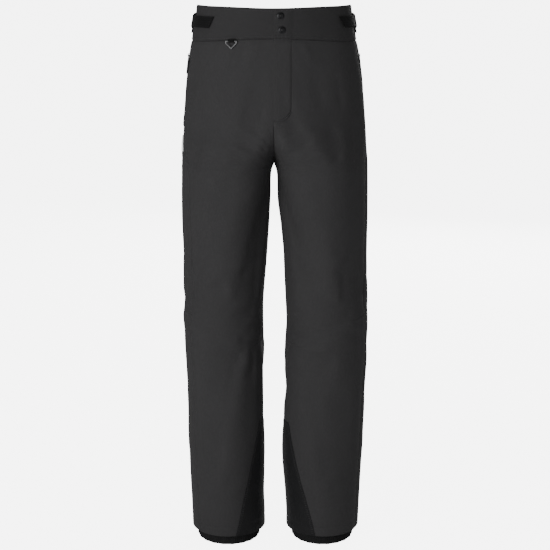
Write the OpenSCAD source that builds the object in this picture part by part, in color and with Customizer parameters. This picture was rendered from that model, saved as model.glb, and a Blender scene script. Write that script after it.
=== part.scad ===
// Ski pants: shell, waistband, storm flap over the front zip, side adjusters, hand pockets,
// articulated legs, scuff guards and inner snow gaiters.
// +X is the wearer's left, -Y the front and +Z up. Millimetres. The gaiters stand on z = 0.

/* [Overall] */
// Height of the waistband's top edge
top_z = 1120; // [1090:5:1150]
// Height of the crotch point, where the legs part
crotch_z = 802; // [790:2:812]
// Height of the waist seam at the sides
seam_z = 1052; // [1046:1:1056]
// Rise of the waist seam at the centre front
seam_rise = 9; // [0:1:12]
// Drop of the waistband's top edge, from the sides to the centre back
back_drop = 8; // [0:1:10]
// Height of the outer hem
hem_z = 22; // [18:1:34]

/* [Fabric] */
// Thickness of the outer shell fabric
shell_t = 2.4; // [1.6:0.2:3.2]
// Thickness of the lining
lining_t = 1.4; // [1:0.2:1.8]
// Gap left along each seam between two panels
seam_gap = 0.4; // [0.2:0.1:0.8]

/* [Joints] */
// Height of the hip axis
hip_z = 745; // [740:1:750]
// Half height of the soft sleeve round the hip axis
hip_half = 55; // [50:1:56]
// Height of the knee axis
knee_z = 470; // [460:1:480]
// Half height of the soft sleeve round the knee axis
knee_half = 86; // [84:1:90]

/* [Fly] */
// Width of the storm flap from the centre front to its hinge line
flap_w = 37; // [34:1:40]
// Height of the storm flap's lowest point
flap_z = 903; // [897:1:911]
// Distance of the front zip from the centre front
zip_x = 15; // [13:0.5:16]
// Diameter of a waist snap cap
snap_d = 15; // [12:0.5:16]

/* [Side adjusters] */
// Height of the strap's lower edge
strap_z = 1077; // [1075:0.5:1079]
// Width of the strap
strap_w = 22; // [18:1:23]
// Angle of the right tab's tip, forward of the side
tab_angle = 56; // [50:1:58]
// The same angle on the left, where the strap is drawn tighter
left_tab_angle = 48; // [44:1:56]

/* [Hidden] */

// Colours of the shell, its trims and its hardware.
black_shell = [0.20, 0.20, 0.21];
black_trim = [0.07, 0.07, 0.075];
grey_lining = [0.32, 0.33, 0.34];
gunmetal = [0.30, 0.30, 0.31];
bright_wire = [0.62, 0.62, 0.62];
white_print = [0.90, 0.90, 0.90];

// Outer half width of the garment against height, and half of the gap between the legs.
half_w = [[0, 176], [30, 177], [100, 179], [232, 181], [298, 183], [364, 186], [440, 190], [472, 192],
    [515, 189], [558, 187.5], [621, 187], [684, 188.5], [802, 189], [860, 187.5], [890, 186],
    [931, 182.5], [971, 178.5], [1011, 172], [1052, 165.5], [1120, 153]];
half_gap = [[0, 26], [98, 24], [298, 22], [407, 23.5], [472, 25], [515, 24], [558, 22.5], [621, 19],
    [684, 14], [726, 11], [767, 8], [790, 5], [802, 0.4]];
// Centre of a leg or of the trunk along Y, and a leg's half depth, against height.
mid_y = [[0, 11], [150, 8], [330, 4], [470, -13], [640, -3], [802, 2], [900, 0], [1052, -12], [1120, -12]];
leg_d = [[0, 86], [150, 85], [330, 84], [470, 85], [640, 100], [802, 119], [866, 127]];
// Depth behind mid_y of the trunk's back, against height.
back_d = [[802, 119], [850, 127], [890, 128], [950, 126], [1000, 118], [1052, 106], [1120, 99]];

cleft_z = 866;      // above this the centre front is straight, below it the legs begin to part
oval_z = 960;       // above this the sections are the waist's three-arc oval
front_slope = 0.06; // forward lean of the centre front, going down
front_top = 112;    // its distance in front of y = 0 at the waistband's top
side_x = 79;        // axis of the round side of the waist

// Place of the outseam round a half section, 0 front to 1 back.
outseam = function(z) lookup(z, [[crotch_z, 0.43], [pocket_low, 0.46]]);

front_y = function(z) -(front_top + front_slope * (top_z - z));

// Half section of the waist at height z, grown by d: three tangent arcs, by share t of their length.
oval = function(t, z, d)
    let (cy = lookup(z, mid_y), r1 = lookup(z, half_w) - side_x + d,
        f = cy - front_y(z) + d, b = lookup(z, back_d) + d,
        rf = (side_x * side_x + f * f - r1 * r1) / (2 * (f - r1)),
        rb = (side_x * side_x + b * b - r1 * r1) / (2 * (b - r1)),
        pf = atan2(rf - f, side_x), pb = atan2(rb - b, side_x),
        lf = rf * (90 - pf), ls = r1 * (pf + pb), lb = rb * (90 - pb),
        s = t * (lf + ls + lb))
    s < lf ? [rf * sin(s / rf), cy + rf - f - rf * cos(s / rf)]
    : s < lf + ls ? let (a = (s - lf) / r1 - pf) [side_x + r1 * cos(a), cy + r1 * sin(a)]
    : let (a = (lf + ls + lb - s) / rb) [rb * sin(a), cy - rb + b + rb * cos(a)];

// Share of the way from one trunk to two legs: it makes the curved crotch.
parted = function(z) z >= cleft_z ? 0 : z <= crotch_z ? 1 : 1 - sqrt((z - crotch_z) / (cleft_z - crotch_z));

// Section of a leg at height z, grown by d, by share t of a turn from the inseam. Above the crotch it
// is an ellipse that the middle plane cuts.
lobe = function(t, z, d)
    let (k = parted(z), g = lookup(z, half_gap), a = (lookup(z, half_w) - g) / (1 + k), cx = g + a * k,
        turn = acos(-k), q = -turn + 2 * turn * t, up = z > crotch_z,
        b = q < 0 && z > cleft_z ? lookup(z, mid_y) - front_y(z)
            : q > 0 && up ? lookup(z, back_d) : lookup(z, leg_d))
    [cx + (a + d) * cos(q), lookup(z, mid_y) + (b + d) * sin(q)];

// Point of the garment's surface on the wearer's left, grown by d.
place = function(t, z, d)
    let (k = min(1, max(0, (oval_z - z) / (oval_z - cleft_z))),
        p = k < 1 ? oval(t, z, d) : [0, 0], q = k > 0 ? lobe(t, z, d) : [0, 0],
        m = p * (1 - k) + q * k)
    [max(m[0], 0) + seam_gap / 2, m[1], z];

// Share t at which the front's surface at height z reaches a given x.
front_t = function(x, z, t = 0.08, tries = 4)
    tries == 0 ? t : front_t(x, z, t * x / place(t, z, 0)[0], tries - 1);

// Height of the waist seam round the half section.
waist_seam = function(t) seam_z + seam_rise * pow(max(0, cos(180 * t)), 2);

// Height of the waistband's top edge round the half section.
top_edge = function(t) top_z - back_drop * pow(max(0, -cos(180 * t)), 2);

// Closed solid between an outer and an inner grid of points with the same rows and columns.
module sheet(outer, inner, closed = false) {
    rows = len(outer);
    cols = len(outer[0]);
    n = rows * cols;
    span = closed ? cols : cols - 1;
    at = function(i, j, layer) layer * n + i * cols + j % cols;
    quad = function(a, b, c, d) [[a, b, c], [a, c, d]];
    faces = concat(
        [for (i = [0:rows - 2], j = [0:span - 1])
            each quad(at(i, j, 0), at(i + 1, j, 0), at(i + 1, j + 1, 0), at(i, j + 1, 0))],
        [for (i = [0:rows - 2], j = [0:span - 1])
            each quad(at(i, j, 1), at(i, j + 1, 1), at(i + 1, j + 1, 1), at(i + 1, j, 1))],
        [for (j = [0:span - 1]) each quad(at(0, j, 0), at(0, j + 1, 0), at(0, j + 1, 1), at(0, j, 1))],
        [for (j = [0:span - 1])
            each quad(at(rows - 1, j, 1), at(rows - 1, j + 1, 1), at(rows - 1, j + 1, 0), at(rows - 1, j, 0))],
        closed ? [] : [for (i = [0:rows - 2])
            each quad(at(i, 0, 0), at(i, 0, 1), at(i + 1, 0, 1), at(i + 1, 0, 0))],
        closed ? [] : [for (i = [0:rows - 2]) each quad(at(i + 1, cols - 1, 0), at(i + 1, cols - 1, 1),
            at(i, cols - 1, 1), at(i, cols - 1, 0))]);
    flat = function(grid) [for (row = grid) each row];
    polyhedron(concat(flat(outer), flat(inner)), faces, convexity = 8);
}

// Fabric patch: first(z) and last(z) give its ends round the section at height z, and low(t) and
// high(t) its lower and upper height at the share t that a column has on the waist seam.
module patch(first, last, low, high, d0, d1, cols, rows) {
    grid = function(d) [for (i = [0:rows]) [for (j = [0:cols])
        let (u = j / cols, at_seam = first(seam_z) + u * (last(seam_z) - first(seam_z)),
            z0 = low(at_seam), z1 = high(at_seam), z = z1 + (z0 - z1) * i / rows,
            t = first(z) + u * (last(z) - first(z))) place(t, z, d)]];
    sheet(grid(d1), grid(d0));
}

// Tube of fabric round a whole leg from z0 up to z1.
module tube(z0, z1, d0, d1, cols, rows) {
    grid = function(d) [for (i = [0:rows]) [for (j = [0:cols - 1])
        place(j / cols, z1 + (z0 - z1) * i / rows, d)]];
    sheet(grid(d1), grid(d0), closed = true);
}

flat_at = function(v) function(x) v;
side = function(left) left ? [0, 0, 0] : [1, 0, 0];
module on_side(left) { mirror(side(left)) children(); }

// ---- Hip panels -----------------------------------------------------------

gap_t = 0.0012;    // seam gap as a share of the section
pocket_low = 885;  // ends of the hand pocket's zip
pocket_high = 1032;
pocket_t = 0.014;  // half width of the pocket's opening, as a share of the section

// The outseam's edges draw apart along the pocket opening.
in_pocket = function(z) z > pocket_low - 16 && z < pocket_high + 10 ? 1 : 0;
front_edge = function(z) outseam(z) - gap_t - pocket_t * in_pocket(z);
back_edge = function(z) outseam(z) + gap_t + pocket_t * in_pocket(z);

// The centre seams' edges draw apart at the crotch, where the front meets the back.
centre_edge = function(z) gap_t * parted(z);

// Rows of a hip panel below and above the flap's foot. Front and back have the same rows, so that
// their edges stay parallel along the outseam.
low_rows = 11;
high_rows = 12;

module hip_front(left, from) {
    color(black_shell) on_side(left) union() {
        patch(from, front_edge, flat_at(flap_z), waist_seam_gap, -shell_t, 0, 9, high_rows);
        patch(centre_edge, front_edge, flat_at(crotch_z), flat_at(flap_z), -shell_t, 0, 10, low_rows);
    }
}
waist_seam_gap = function(t) waist_seam(t) - seam_gap;

module right_front_hip() { hip_front(false, flat_at(0)); }

foot_rise = 24; // rise of the flap's curved foot, from the centre front to the hinge line

// The left front starts beside the flap and, lower down, under the flap's curved foot.
beside_flap = function(z) front_t(lookup(z, [[flap_z, 24], [flap_z + foot_rise / 2, 36], [flap_z + foot_rise, flap_w + 1]]),
    max(z, cleft_z));
module left_front_hip() { hip_front(true, beside_flap); }

module hip_back(left) {
    color(black_shell) on_side(left) union() {
        patch(back_edge, flat_at(1), flat_at(flap_z), waist_seam_gap, -shell_t, 0, 10, high_rows);
        patch(back_edge, function(z) 1 - centre_edge(z), flat_at(crotch_z), flat_at(flap_z), -shell_t, 0,
            10, low_rows);
    }
}
module right_back_hip() { hip_back(false); }
module left_back_hip() { hip_back(true); }

// Lining of the trunk: it leaves the fly open and hangs inside the pocket bags.
lining_d = 12;
module seat_lining() {
    color(grey_lining) for (left = [false, true]) on_side(left)
        patch(flat_at(0.12), flat_at(1), flat_at(crotch_z + 12), flat_at(seam_z - 3),
            -lining_d - lining_t, -lining_d, 14, 8);
}

module pocket_bags() {
    color(grey_lining) for (left = [false, true]) on_side(left)
        patch(flat_at(0.24), flat_at(0.43), flat_at(840), flat_at(1020), -9, -6, 5, 5);
}

// Plain white patch on the right side, behind the outseam and below the pocket.
module side_patch() {
    color(white_print) on_side(false)
        patch(flat_at(0.468), flat_at(0.522), flat_at(826), flat_at(856), 0.4, 1.0, 3, 3);
}

// ---- Waistband ------------------------------------------------------------

band_t = 4;

module band(first, last, cols) {
    patch(first, last, waist_seam, top_edge, -band_t, 0, cols, 2);
}
module waistband_front_right() {
    color(black_shell) on_side(false) band(flat_at(0), front_edge, 14);
}
module waistband_front_left() {
    color(black_shell) on_side(true) band(beside_flap, front_edge, 12);
}
module waistband_back() {
    cols = 14;
    half = function(d) [for (i = [0:2]) [for (j = [0:cols])
        let (t = back_edge(top_z) + (1 - back_edge(top_z)) * j / cols,
            z = top_edge(t) + (waist_seam(t) - top_edge(t)) * i / 2) place(t, z, d)]];
    whole = function(d) let (h = half(d)) [for (row = h)
        concat(row, [for (j = [cols - 1:-1:0]) [-row[j][0], row[j][1], row[j][2]]])];
    color(black_shell) sheet(whole(0), whole(-band_t));
}

// Brushed facing inside the band, open at the fly.
module waistband_facing() {
    color(grey_lining) for (left = [false, true]) on_side(left)
        patch(flat_at(0.12), flat_at(1), flat_at(seam_z + 3), function(t) top_edge(t) - 3, -6.6, -5, 22, 2);
}

module hanger_loop() {
    color(black_trim) translate([0, lookup(1095, mid_y) + lookup(1095, back_d) - 10, 1070]) difference() {
        cube([60, 2, 30], center = true);
        translate([0, 0, -3]) cube([52, 4, 22], center = true);
    }
}

// ---- Fly ------------------------------------------------------------------

fly_top = 1058;         // upper end of the zip
fly_low = 912;          // lower end of the zip
fly_lean = atan(front_slope);
zip_depth = 8;          // distance of the tape's face behind the front surface

underlap_w = 68;        // width of the layers behind the flap
underlap_depth = 7.5;   // distance of the band's underlap behind the front surface

// Frame of the fly: origin on the front surface at height z, +Y inwards, +Z up along the front.
module on_front(x, z) { translate([x, front_y(z), z]) rotate([-fly_lean, 0, 0]) children(); }

module waistband_underlap() {
    color(black_shell) difference() {
        on_front(0, 1062) translate([-underlap_w / 2, underlap_depth, 0]) cube([underlap_w, 3, 56]);
        on_snaps() cylinder(d = 3, h = 20, $fn = 48);
    }
}
module fly_underlap() {
    color(grey_lining) on_front(0, fly_low) translate([-underlap_w / 2, 13.5, -6]) cube([underlap_w, 1.4, 144]);
}

tooth_pitch = 2.8;
row_gap = 1.4; // open line between the two rows, where the slider's web runs

module zip_teeth(length, pitch = tooth_pitch) {
    for (s = [-1, 1], i = [0:floor(length / pitch) - 1])
        translate([s > 0 ? row_gap / 2 : -row_gap / 2 - 2.4, -1.1, i * pitch + (s + 1) * pitch / 4])
            cube([2.4, 2.2, pitch * 0.55]);
}

module zip_tapes(length, width) {
    for (s = [-1, 1]) translate([s > 0 ? row_gap / 2 + 2.6 : -row_gap / 2 - 2.6 - width, -0.35, -4])
        cube([width, 0.7, length + 8]);
}

// Slider: two plates joined by a thin web that runs between the rows of teeth.
module zip_slider(width, height) {
    plate = [width, 1.2, height];
    translate([-width / 2, -2.7, 0]) cube(plate);
    translate([-width / 2, 1.5, 0]) cube(plate);
    translate([-0.5, -2.0, height * 0.3]) cube([1, 4.2, height * 0.5]);
}

module fly_zip_tapes() {
    color(black_trim) on_front(zip_x, fly_low) translate([0, zip_depth, 0]) zip_tapes(fly_top - fly_low - 12, 10);
}
module fly_zip_teeth() {
    color(gunmetal) on_front(zip_x, fly_low) translate([0, zip_depth, 0]) zip_teeth(fly_top - fly_low - 12);
}
module fly_zip_slider() {
    color(gunmetal) on_front(zip_x, fly_low) translate([0, zip_depth, fly_top - fly_low - 26]) union() {
        zip_slider(9, 12);
        translate([-2, -3.9, 4]) cube([4, 1.4, 6]);
        translate([-2.6, -4.5, -22]) cube([5.2, 1.4, 29]);
    }
}

module fly_flap() {
    foot = function(t) flap_z + foot_rise * pow(min(1, t / front_t(flap_w, seam_z)), 3);
    color(black_shell) on_side(true) patch(flat_at(0.002),
        function(z) front_t(flap_w, max(z, cleft_z)), foot, waist_seam_gap, -1, 1.4, 6, 10);
}
module waistband_overlap() {
    color(black_shell) difference() {
        on_side(true) patch(flat_at(0.002), function(z) front_t(flap_w, z),
            waist_seam, flat_at(top_z - 2), -1, 1.4, 6, 3);
        on_snaps() translate([0, 0, -5]) cylinder(d = 5.4, h = 10, $fn = 48);
    }
}

snap_at = [[12, 1105], [15, 1078]];
stud_top = 3.3; // distance of the stud's head behind the front surface

// A point's setback from the flat front plane, from the round of the waist.
setback = function(x) x * x / 520;

module on_snaps() {
    for (p = snap_at) on_front(p[0], p[1]) translate([0, setback(p[0]), 0]) rotate([-90, 0, 0]) children();
}
module snap_studs() {
    color(gunmetal) on_snaps() rotate_extrude($fn = 48) polygon([[0, stud_top], [2.3, stud_top],
        [2.3, 6.0], [5.5, 6.0], [5.5, 6.9], [1.1, 6.9], [1.1, 11.1], [5.5, 11.1], [5.5, 12], [0, 12]]);
}
// Cap outside, and a ring inside that takes the stud's head.
module snap_caps() {
    under = -2.2; // the cap's underside, in front of the front surface
    color(gunmetal) on_snaps() rotate_extrude($fn = 64) polygon([[0, under - 2.2],
        [snap_d * 0.22, under - 2.1], [snap_d * 0.38, under - 1.6], [snap_d / 2, under - 0.4],
        [snap_d / 2, under], [2.2, under], [2.2, 2], [5.2, 2], [5.2, 5.4], [3.2, 5.4],
        [3.2, 2.7], [0, 2.7]]);
}

// ---- Ring at the waist seam -------------------------------------------------

ring_x = -83.5;
ring_z = 1056;
wire_r = 1.1;
ring_w = 20;
ring_y = front_y(ring_z) + 7; // clear of the panel, which curves back here

module d_ring_tab() {
    color(black_trim) translate([ring_x, ring_y, ring_z]) difference() {
        union() {
            translate([-6, -2.2, -2.2]) cube([12, 4.4, 5.6]);
            translate([-6, -1, 3]) cube([12, 2, 4]);
        }
        translate([-8, 0, 0]) rotate([0, 90, 0]) cylinder(r = wire_r + 0.2, h = 16, $fn = 32);
    }
}

module wire(a, b) {
    v = b - a;
    translate(a) rotate([0, acos(v[2] / norm(v)), atan2(v[1], v[0])]) cylinder(r = wire_r, h = norm(v), $fn = 32);
}
module d_ring() {
    corners = [[-ring_w / 2, 0, 0], [-ring_w / 2, 0, -4], [0, 0, -14], [ring_w / 2, 0, -4], [ring_w / 2, 0, 0]];
    color(bright_wire) translate([ring_x, ring_y, ring_z]) union() {
        for (i = [0:len(corners) - 1]) {
            wire(corners[i], corners[(i + 1) % len(corners)]);
            translate(corners[i]) sphere(r = wire_r, $fn = 32);
        }
    }
}

// ---- Side adjusters ---------------------------------------------------------

band_y = lookup(top_z, mid_y);
side_r = function(z) lookup(z, half_w) - side_x; // radius of the waist's round side

// Strip of the cone round the waist's side, from angle a0 to a1 in front of the side.
module side_strip(z0, z1, r0, r1, a0, a1) {
    translate([side_x, band_y, 0]) rotate([0, 0, -a1]) rotate_extrude(angle = a1 - a0, $fn = 96)
        polygon([[side_r(z0) + r0, z0], [side_r(z0) + r1, z0], [side_r(z1) + r1, z1], [side_r(z1) + r0, z1]]);
}

tip_angle = function(left) left ? left_tab_angle : tab_angle;

module loop_patches() {
    color(black_trim) for (left = [false, true]) on_side(left)
        side_strip(strap_z + 1, strap_z + strap_w - 1, 0.5, 1.5, 16, tip_angle(left) - 5);
}

// Upright loops that hold the straps against the band.
module strap_keepers() {
    color(black_trim) for (left = [false, true]) on_side(left) union() {
        side_strip(1066, 1104, 4.6, 6, -4, 5);
        side_strip(1066, 1072, 0.5, 4.8, -4, 5);
        side_strip(1102, 1104, 0.5, 4.8, -4, 5);
    }
}

module strap(left) {
    color(black_trim) on_side(left) side_strip(strap_z, strap_z + strap_w, 2.6, 4.0, -54, 26);
}
module right_strap() { strap(false); }
module left_strap() { strap(true); }

// Free end of the strap, with a slanted tip.
module tab_piece(left, r0, r1, a0) {
    angle = tip_angle(left);
    on_side(left) difference() {
        side_strip(strap_z, strap_z + strap_w, r0, r1, a0, angle + 3);
        tip = [side_x + side_r(strap_z) * cos(angle), band_y - side_r(strap_z) * sin(angle), strap_z];
        translate(tip) rotate([0, 0, -angle - 4]) rotate([24, 0, 0]) translate([-20, -30, -20]) cube([40, 30, 60]);
    }
}
module right_tab() { color(black_trim) tab_piece(false, 2.6, 4.0, 28); }
module left_tab() { color(black_trim) tab_piece(true, 2.6, 4.0, 28); }
module right_hook_patch() { color(black_trim) tab_piece(false, 1.6, 2.5, 30); }
module left_hook_patch() { color(black_trim) tab_piece(true, 1.6, 2.5, 30); }

// ---- Hand pockets -----------------------------------------------------------

pocket_a = place(outseam(pocket_low), pocket_low, -2);
pocket_b = place(outseam(pocket_high), pocket_high, -2);
pocket_len = norm(pocket_b - pocket_a);

// Frame along the pocket's zip: origin at its lower end, +Z up along it, -Y outwards.
module on_pocket() {
    up = (pocket_b - pocket_a) / pocket_len;
    tip = place(outseam(pocket_low) + 0.02, pocket_low, -2) - pocket_a;
    across = (tip - up * (tip * up)) / norm(tip - up * (tip * up));
    inward = cross(up, across);
    multmatrix([[across[0], inward[0], up[0], pocket_a[0]], [across[1], inward[1], up[1], pocket_a[1]],
        [across[2], inward[2], up[2], pocket_a[2]]]) children();
}
module pocket_zip(left) {
    color(black_trim) on_side(left) on_pocket() union() {
        zip_tapes(pocket_len, 1.6);
        zip_teeth(pocket_len - 2, 2.4);
    }
}
module pocket_slider(left) {
    color(gunmetal) on_side(left) on_pocket() translate([0, 0, pocket_len - 14]) union() {
        zip_slider(7, 9);
        translate([-1, -4.9, 2]) cube([2, 2.4, 1]);
        translate([-1, -4.9, 7]) cube([2, 2.4, 1]);
        translate([-1, -5.9, 2]) cube([2, 1.1, 6]);
    }
}
// Puller: a bar in the slider's bail, and a moulded pull.
module pocket_puller(left) {
    color(black_trim) on_side(left) on_pocket() translate([0, 0, pocket_len - 14]) difference() {
        union() {
            translate([-3, -4.4, 4.4]) cube([6, 1.2, 1.2]);
            for (s = [-1, 1]) translate([s > 0 ? 1.6 : -3, -4.8, -6]) cube([1.4, 1.7, 11.6]);
            translate([-4, -5, -32]) cube([8, 2.2, 27]);
        }
        translate([0, 0, -28]) rotate([90, 0, 0]) cylinder(r = 1.6, h = 20, center = true, $fn = 32);
    }
}
module right_pocket_zip() { pocket_zip(false); }
module left_pocket_zip() { pocket_zip(true); }
module right_pocket_slider() { pocket_slider(false); }
module left_pocket_slider() { pocket_slider(true); }
module right_pocket_puller() { pocket_puller(false); }
module left_pocket_puller() { pocket_puller(true); }

// ---- Legs -------------------------------------------------------------------

hip_low = hip_z - hip_half;
knee_high = knee_z + knee_half;
knee_low = knee_z - knee_half;
leg_cols = 30;

module leg_front(left, z0, z1, rows) {
    color(black_shell) on_side(left)
        patch(flat_at(gap_t), front_edge, flat_at(z0), flat_at(z1), -shell_t, 0, 14, rows);
}
module leg_back(left, z0, z1, rows) {
    color(black_shell) on_side(left)
        patch(back_edge, flat_at(1 - gap_t), flat_at(z0), flat_at(z1), -shell_t, 0, 16, rows);
}
module hip_sleeve(left) {
    color(black_shell) on_side(left) tube(hip_low + 0.5, crotch_z - 0.5, -shell_t, 0, leg_cols, 4);
}
module knee_sleeve(left) {
    color(black_shell) on_side(left) tube(knee_low + 0.5, knee_high - 0.5, -shell_t, 0, leg_cols, 6);
}
module thigh_lining(left) {
    color(grey_lining) on_side(left) tube(knee_high, hip_low, -5.4, -4, 24, 2);
}
module shin_lining(left) {
    color(grey_lining) on_side(left) tube(220, knee_low, -5.4, -4, 24, 3);
}
module right_hip_sleeve() { hip_sleeve(false); }
module left_hip_sleeve() { hip_sleeve(true); }
module right_thigh_front() { leg_front(false, knee_high, hip_low, 3); }
module left_thigh_front() { leg_front(true, knee_high, hip_low, 3); }
module right_thigh_back() { leg_back(false, knee_high, hip_low, 3); }
module left_thigh_back() { leg_back(true, knee_high, hip_low, 3); }
module right_thigh_lining() { thigh_lining(false); }
module left_thigh_lining() { thigh_lining(true); }
module right_knee_sleeve() { knee_sleeve(false); }
module left_knee_sleeve() { knee_sleeve(true); }
module right_shin_front() { leg_front(false, hem_z, knee_low, 7); }
module left_shin_front() { leg_front(true, hem_z, knee_low, 7); }
module right_shin_back() { leg_back(false, hem_z, knee_low, 7); }
module left_shin_back() { leg_back(true, hem_z, knee_low, 7); }
module right_shin_lining() { shin_lining(false); }
module left_shin_lining() { shin_lining(true); }

// Tough panel over the inner ankle: its front edge slants outwards towards the hem.
guard_top = 262;
guard_front = function(z) 0.09 + 0.125 * (guard_top - z) / (guard_top - hem_z);
module scuff_guard(left) {
    rows = 6;
    cols = 20;
    grid = function(d) [for (i = [0:rows]) [for (j = [0:cols])
        let (z = guard_top + (hem_z - guard_top) * i / rows, a = -0.03 - 0.85 * guard_front(z),
            t = guard_front(z) + (a - guard_front(z)) * j / cols)
        place(t < 0 ? t + 1 : t, z, d)]];
    color(black_trim) on_side(left) sheet(grid(2.0), grid(0.8));
}
module right_scuff_guard() { scuff_guard(false); }
module left_scuff_guard() { scuff_guard(true); }

// Gaiter inside the leg, with an elastic lower edge that grips the boot.
gaiter_top = 205;
elastic_h = 24;
module gaiter(left) {
    color(black_trim) on_side(left) tube(elastic_h + 0.5, gaiter_top, -11.2, -10, 24, 5);
}
module gaiter_elastic(left) {
    color(black_trim) on_side(left) tube(0, elastic_h, -13, -10, 28, 1);
}
module right_gaiter() { gaiter(false); }
module left_gaiter() { gaiter(true); }
module right_gaiter_elastic() { gaiter_elastic(false); }
module left_gaiter_elastic() { gaiter_elastic(true); }

right_front_hip();
left_front_hip();
right_back_hip();
left_back_hip();
waistband_front_right();
waistband_front_left();
waistband_back();
waistband_underlap();
waistband_facing();
seat_lining();
pocket_bags();
hanger_loop();
side_patch();
fly_underlap();
fly_zip_tapes();
fly_zip_teeth();
snap_studs();
fly_zip_slider();
fly_flap();
waistband_overlap();
snap_caps();
d_ring_tab();
d_ring();
loop_patches();
strap_keepers();
right_strap();
left_strap();
right_tab();
left_tab();
right_hook_patch();
left_hook_patch();
right_pocket_zip();
left_pocket_zip();
right_pocket_slider();
left_pocket_slider();
right_pocket_puller();
left_pocket_puller();
right_hip_sleeve();
left_hip_sleeve();
right_thigh_front();
left_thigh_front();
right_thigh_back();
left_thigh_back();
right_thigh_lining();
left_thigh_lining();
right_knee_sleeve();
left_knee_sleeve();
right_shin_front();
left_shin_front();
right_shin_back();
left_shin_back();
right_shin_lining();
left_shin_lining();
right_scuff_guard();
left_scuff_guard();
right_gaiter();
left_gaiter();
right_gaiter_elastic();
left_gaiter_elastic();
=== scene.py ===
"""Looks for the ski pants: cloth shells, webbing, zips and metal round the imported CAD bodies.

Lengths here are millimetres in the row's frame until a mesh is made, and +X is the wearer's left.
A place on the garment is (t, z): t goes round one half, from the centre front or the inseam at 0, by
the outer side near 0.5, to the back at 1, and z is the height.
"""

import math

import bpy
import numpy as np
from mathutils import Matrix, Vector


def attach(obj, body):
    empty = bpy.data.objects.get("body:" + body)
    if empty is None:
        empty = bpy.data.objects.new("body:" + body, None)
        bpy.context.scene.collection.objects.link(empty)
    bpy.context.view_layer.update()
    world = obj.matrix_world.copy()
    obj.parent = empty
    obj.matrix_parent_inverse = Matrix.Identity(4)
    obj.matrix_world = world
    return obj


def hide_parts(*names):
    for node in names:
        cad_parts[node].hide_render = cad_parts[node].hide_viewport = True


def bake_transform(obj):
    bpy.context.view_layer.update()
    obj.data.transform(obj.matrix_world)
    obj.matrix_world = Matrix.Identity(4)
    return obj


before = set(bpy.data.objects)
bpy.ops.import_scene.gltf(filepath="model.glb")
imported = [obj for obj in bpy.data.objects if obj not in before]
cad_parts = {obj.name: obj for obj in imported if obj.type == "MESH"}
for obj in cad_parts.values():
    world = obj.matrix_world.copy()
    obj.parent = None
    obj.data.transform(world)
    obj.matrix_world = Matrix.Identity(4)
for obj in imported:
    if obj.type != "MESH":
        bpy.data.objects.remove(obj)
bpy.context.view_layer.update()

MM = 0.001
RIGHT, LEFT = "right", "left"
SIDES = {RIGHT: -1.0, LEFT: 1.0}

# ---- Design sizes: the part's own, or within a few millimetres of them -------------------------

TOP_Z = 1120.0
SEAM_Z, SEAM_RISE = 1052.0, 9.0
CLEFT_Z, CROTCH_Z, OVAL_Z = 866.0, 802.0, 960.0  # the section is a plain oval above OVAL_Z
SPLIT_Z = 560.0  # a leg's upper and lower pieces meet here
HEM_Z = 22.0
BACK_DROP = 13.0  # how much lower the top edge is at the back
SIDE_X, SIDE_Y = 79.0, -12.0  # axis of the waist's round sides
FRONT_TOP, FRONT_SLOPE = 112.0, 0.06
FLAP_W, FLAP_FOOT, FLAP_RISE = 36.5, 902.0, 25.0
HINGE = (40.5, 34.5)  # where the fly's hinge line lies, as distances from the middle; the flap and the overlap reach about to the first

POCKET_Z = (885.0, 1032.0)
SHELL_T, BAND_T = 2.4, 4.0
HEM_FOLD = 20.0  # height of the hem's stitches above its edge
ZIP_X = 15.0
SIDE_T = 0.46  # share t of the outseam at the hips and of the waistband's side seams
OUTSEAM_LEG = {RIGHT: 0.397, LEFT: 0.435}  # and of the outseam on the legs
PATCH_T, PATCH_Z = (0.416, 0.470), (833.0, 863.0)

OUTER = {
    RIGHT: [(0, 173), (35, 174), (98, 176), (232, 178), (298, 178), (364, 181), (407, 183), (440, 186),
            (480, 188.5), (515, 186), (558, 184.5), (621, 184.5), (684, 187), (767, 188.5), (819, 188),
            (860, 187), (890, 185), (931, 182), (971, 177.5), (1011, 171), (1052, 165.5), (1120, 153)],
    LEFT: [(0, 178), (35, 180), (98, 182), (165, 183), (232, 185), (298, 188), (364, 191), (407, 194.5),
           (472, 196), (493, 194), (558, 190.5), (621, 188.5), (684, 191), (767, 190.5), (819, 189.5),
           (860, 187.5), (890, 187), (931, 182.5), (971, 179.5), (1011, 173), (1052, 165.5), (1120, 153)],
}
INNER = {
    RIGHT: [(0, 21), (53, 21.5), (98, 23.5), (364, 23), (407, 21), (440, 23), (515, 23), (558, 21),
            (621, 16.5), (684, 12.5), (726, 10.5), (767, 8), (788, 6), (802, 0.4)],
    LEFT: [(0, 28), (53, 28), (98, 25.5), (165, 21.5), (298, 21), (364, 23), (440, 25.5), (472, 27),
           (515, 25), (621, 22.5), (684, 16.5), (726, 10.5), (767, 8), (788, 6), (802, 0.4)],
}
MID_Y = [(0, 11), (150, 8), (330, 4), (470, -13), (640, -3), (802, 2), (900, 0), (1052, -12), (1120, -12)]
LEG_D = [(0, 86), (150, 85), (330, 84), (470, 85), (640, 100), (802, 119), (866, 127)]
BACK_D = [(802, 119), (850, 127), (890, 128), (950, 126), (1000, 118), (1052, 106), (1120, 99)]


def smooth_table(points, blur=13.0):
    """A function of height through the points, with its corners rounded over about blur."""
    heights = np.arange(-40.0, TOP_Z + 41.0)
    values = np.interp(heights, *np.array(points, float).T)
    reach = int(3 * blur)
    kernel = np.exp(-0.5 * (np.arange(-reach, reach + 1) / blur) ** 2)
    padded = np.pad(values, reach, mode="reflect", reflect_type="odd")
    smoothed = np.convolve(padded, kernel / kernel.sum(), mode="valid")
    return lambda z: np.interp(z, heights, smoothed)


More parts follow.
